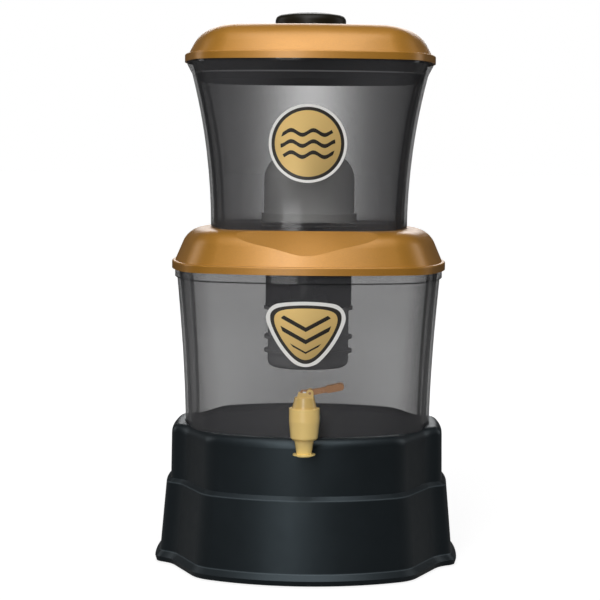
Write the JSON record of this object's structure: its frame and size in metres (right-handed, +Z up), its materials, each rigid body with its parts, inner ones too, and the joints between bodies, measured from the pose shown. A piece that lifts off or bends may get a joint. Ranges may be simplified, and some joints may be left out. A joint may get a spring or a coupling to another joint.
{
  "type": "gravity water purifier",
  "caption": "Stacked gravity water purifier: smoke upper tank with a ceramic filter, media cartridge, lower tank with a lever tap, gold lids and a fluted black stand.",
  "frame": {"origin": "on the table, under the middle of the footprint, tap included", "axes": "+Z up, the tap and labels face -Y, +X to the right as seen from the front"},
  "size_m": [0.302, 0.3238, 0.5445],
  "materials": {
    "stand_black": "satin",
    "foot_rubber": "matte",
    "smoke_clear": "clear smoke tint, glossy",
    "label_gold": "satin",
    "tap_gold": "satin",
    "spout_pale": "satin",
    "lever_bronze": "glossy",
    "silicone": "matte",
    "white_plastic": "satin",
    "steel": "satin",
    "gold_satin": "satin metallic",
    "collar_black": "satin",
    "knob_brown": "satin",
    "cartridge_dark": "glossy",
    "cartridge_smoke": "clear smoke tint",
    "ceramic_white": "matte, porous",
    "felt_white": "matte",
    "carbon_black": "granular",
    "zeolite_tan": "granular",
    "silica_pale": "granular",
    "mineral_grey": "granular"
  },
  "bodies": {
    "stand": {"stand": "stand_black", "stand_feet": "foot_rubber"},
    "lower_tank": {"lower_tank": "smoke_clear", "lower_tank_floor": "smoke_clear", "shield_label": "label_gold", "tap_body": "tap_gold", "tap_outer_washer": "silicone", "tap_inner_washer": "silicone", "tap_nut": "white_plastic", "spout_ring": "spout_pale"},
    "tap_bonnet": {"tap_bonnet": "tap_gold", "lever_pin": "steel", "stem_seal": "silicone", "tap_spring": "steel"},
    "tap_lever": {"tap_lever": "lever_bronze"},
    "tap_stem": {"tap_stem": "steel", "stem_pin": "steel", "tap_valve": "silicone"},
    "mid_cover": {"mid_cover": "gold_satin", "cover_seal": "silicone", "cartridge_gasket": "silicone", "cartridge_ring": "cartridge_dark", "cartridge_head": "cartridge_dark", "cartridge_sleeve": "cartridge_dark", "cartridge_cup": "cartridge_smoke", "filter_pads": "felt_white", "carbon_bed": "carbon_black", "zeolite_bed": "zeolite_tan", "silica_bed": "silica_pale", "mineral_bed": "mineral_grey"},
    "upper_tank": {"upper_tank": "smoke_clear", "round_label": "label_gold", "ceramic_seal": "silicone", "ceramic_base": "white_plastic", "ceramic_dome": "ceramic_white", "ceramic_nut": "white_plastic"},
    "upper_lid": {"upper_lid": "gold_satin", "lid_collar": "collar_black", "lid_knob": "knob_brown", "knob_washer": "steel", "knob_screw": "steel"}
  },
  "joints": [
    {"name": "lower_tank_lift", "type": "slide", "parent": "stand", "child": "lower_tank", "axis": [0, 0, 1], "range_m": [0, 0.08]},
    {"name": "cover_lift", "type": "slide", "parent": "lower_tank", "child": "mid_cover", "axis": [0, 0, 1], "range_m": [0, 0.13]},
    {"name": "upper_tank_lift", "type": "slide", "parent": "mid_cover", "child": "upper_tank", "axis": [0, 0, 1], "range_m": [0, 0.1]},
    {"name": "lid_lift", "type": "slide", "parent": "upper_tank", "child": "upper_lid", "axis": [0, 0, 1], "range_m": [0, 0.1]},
    {"name": "tap_swivel", "type": "hinge", "parent": "lower_tank", "child": "tap_bonnet", "pos_m": [0, -0.14774, 0.171], "axis": [0, 0, 1], "range_deg": [-180, 0]},
    {"name": "lever_press", "type": "hinge", "parent": "tap_bonnet", "child": "tap_lever", "pos_m": [0.005, -0.14774, 0.1855], "axis": [0, 1, 0], "range_deg": [0, 26], "stiffness_Nm_per_rad": 0.25, "springref_deg": -17.19},
    {"name": "stem_lift", "type": "slide", "parent": "tap_bonnet", "child": "tap_stem", "axis": [0, 0, 1], "range_m": [0, 0.0024], "deforming": ["tap_spring"]}
  ],
  "couplings": [
    {"joint": "stem_lift", "follows": "lever_press", "m_per_rad": 0.00525}
  ]
}
